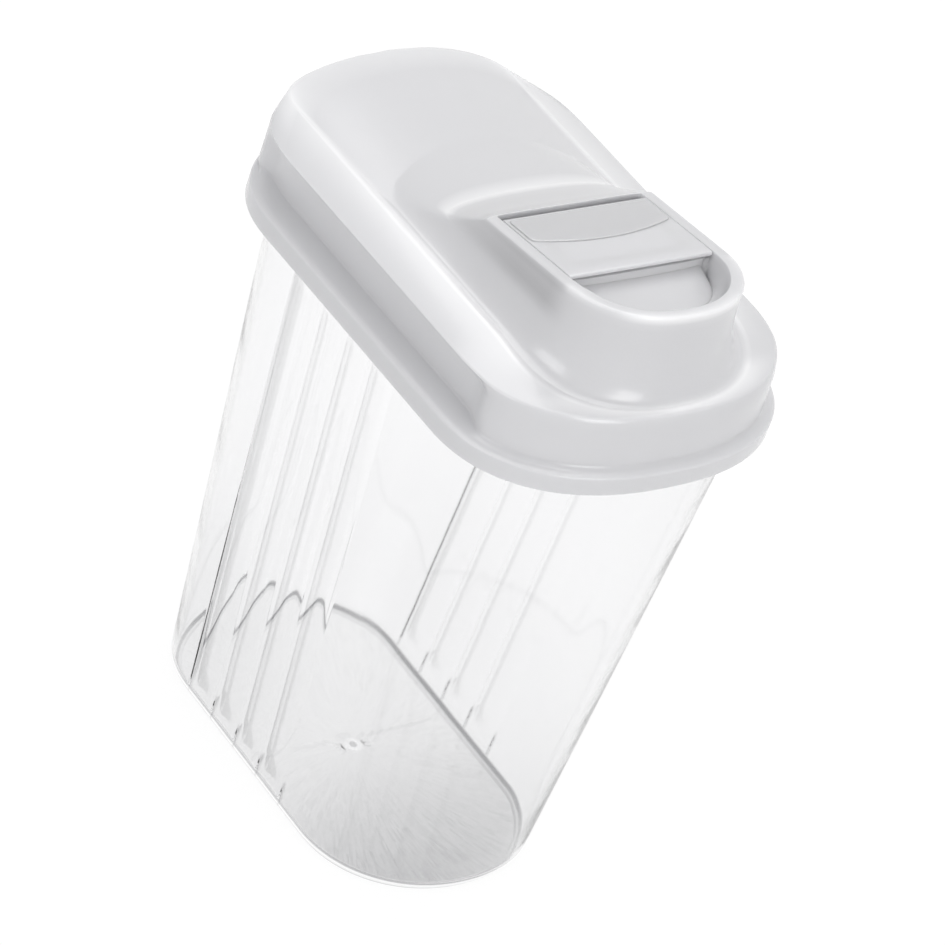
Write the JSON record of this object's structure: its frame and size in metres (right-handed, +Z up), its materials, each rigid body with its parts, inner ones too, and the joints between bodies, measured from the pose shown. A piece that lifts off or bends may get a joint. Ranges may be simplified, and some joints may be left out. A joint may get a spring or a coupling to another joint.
{
  "type": "cereal container",
  "caption": "Clear, tapered, rounded-end food container with a translucent press-on lid whose raised spout is closed by a hinged flap.",
  "frame": {"origin": "centre of the container's footprint, on the surface it stands on", "axes": "+Z up, +X along the length towards the spout, +Y across, to the left of someone looking along +X"},
  "size_m": [0.184, 0.1246, 0.2437],
  "materials": {
    "clear_body": "clear, polished rigid plastic",
    "lid": "milky translucent, satin, slightly flexible plastic",
    "flap": "milky translucent, satin, slightly flexible plastic"
  },
  "bodies": {
    "container": {"body": "clear_body"},
    "lid": {"lid": "lid"},
    "flap": {"flap": "flap"}
  },
  "joints": [
    {"name": "lid_lift", "type": "slide", "parent": "container", "child": "lid", "axis": [0, 0, 1], "range_m": [0, 0.06]},
    {"name": "flap_hinge", "type": "hinge", "parent": "lid", "child": "flap", "pos_m": [0.0153, 0, 0.23468], "axis": [0, -1, 0], "range_deg": [0, 105]}
  ]
}
